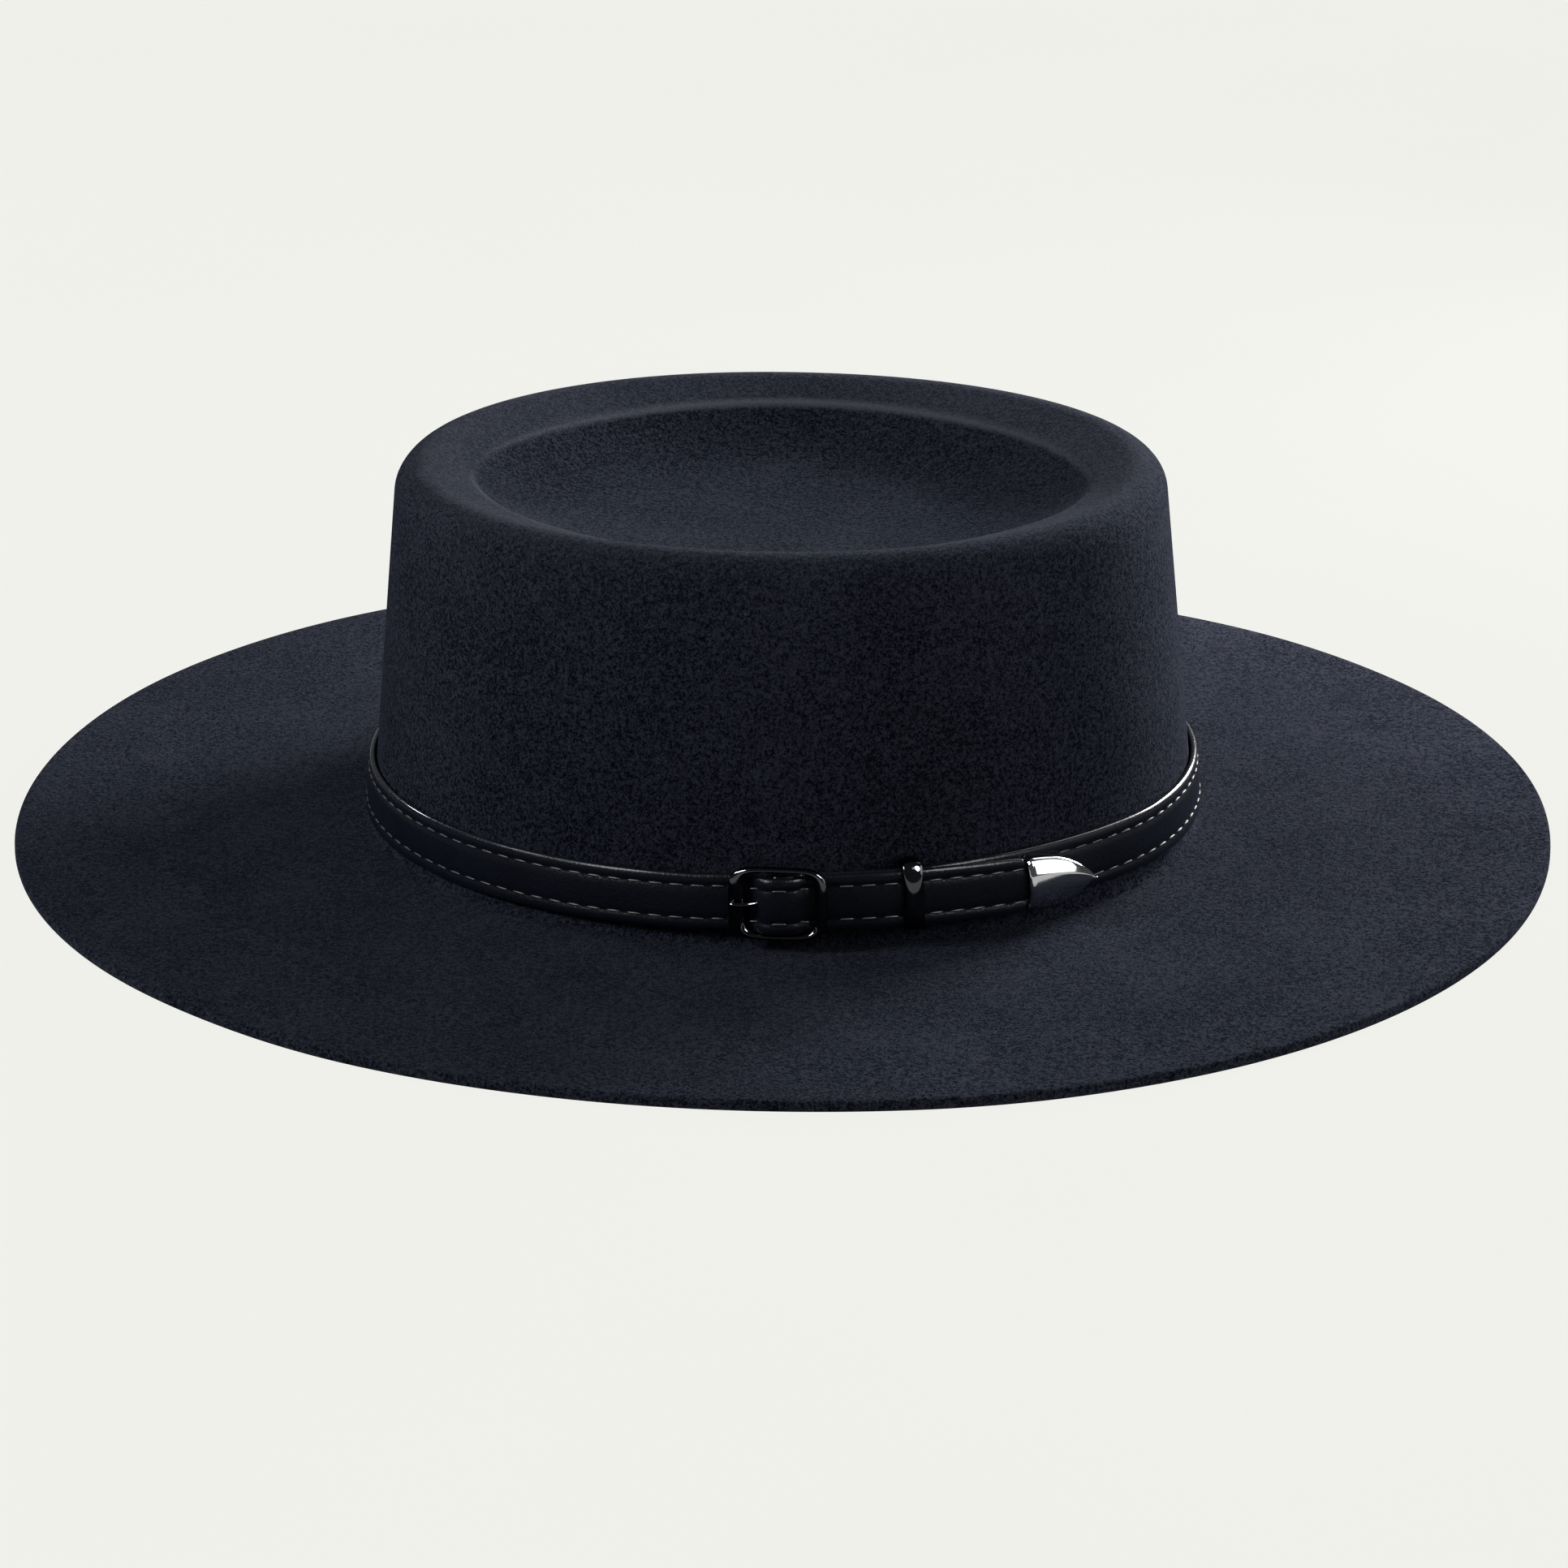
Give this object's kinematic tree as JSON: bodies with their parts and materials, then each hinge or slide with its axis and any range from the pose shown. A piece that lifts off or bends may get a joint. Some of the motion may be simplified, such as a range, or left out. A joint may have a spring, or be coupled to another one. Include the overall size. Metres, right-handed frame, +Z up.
{
  "type": "gaucho hat",
  "caption": "Black felt gaucho hat with a wide flat brim, telescope crown and stitched leather strap with buckle, keeper loop and pointed metal tip",
  "frame": {"origin": "on the floor under the middle of the brim, the middle of the bounding box's bottom face", "axes": "+X to the wearer's back, -X to the wearer's front, -Y to the wearer's left (the buckle's side), +Z up"},
  "size_m": [0.3777, 0.352, 0.0926],
  "materials": {
    "felt": "matte blue-black wool felt with a short nap",
    "strap_leather": "smooth black leather, semi-gloss",
    "black_nickel": "polished black nickel",
    "tip_nickel": "polished dark nickel, brighter than the buckle"
  },
  "bodies": {
    "root": {"felt_body": "felt", "strap": "strap_leather", "buckle_frame": "black_nickel", "buckle_prong": "black_nickel", "keeper_loop": "black_nickel", "strap_tip": "tip_nickel"}
  },
  "joints": []
}
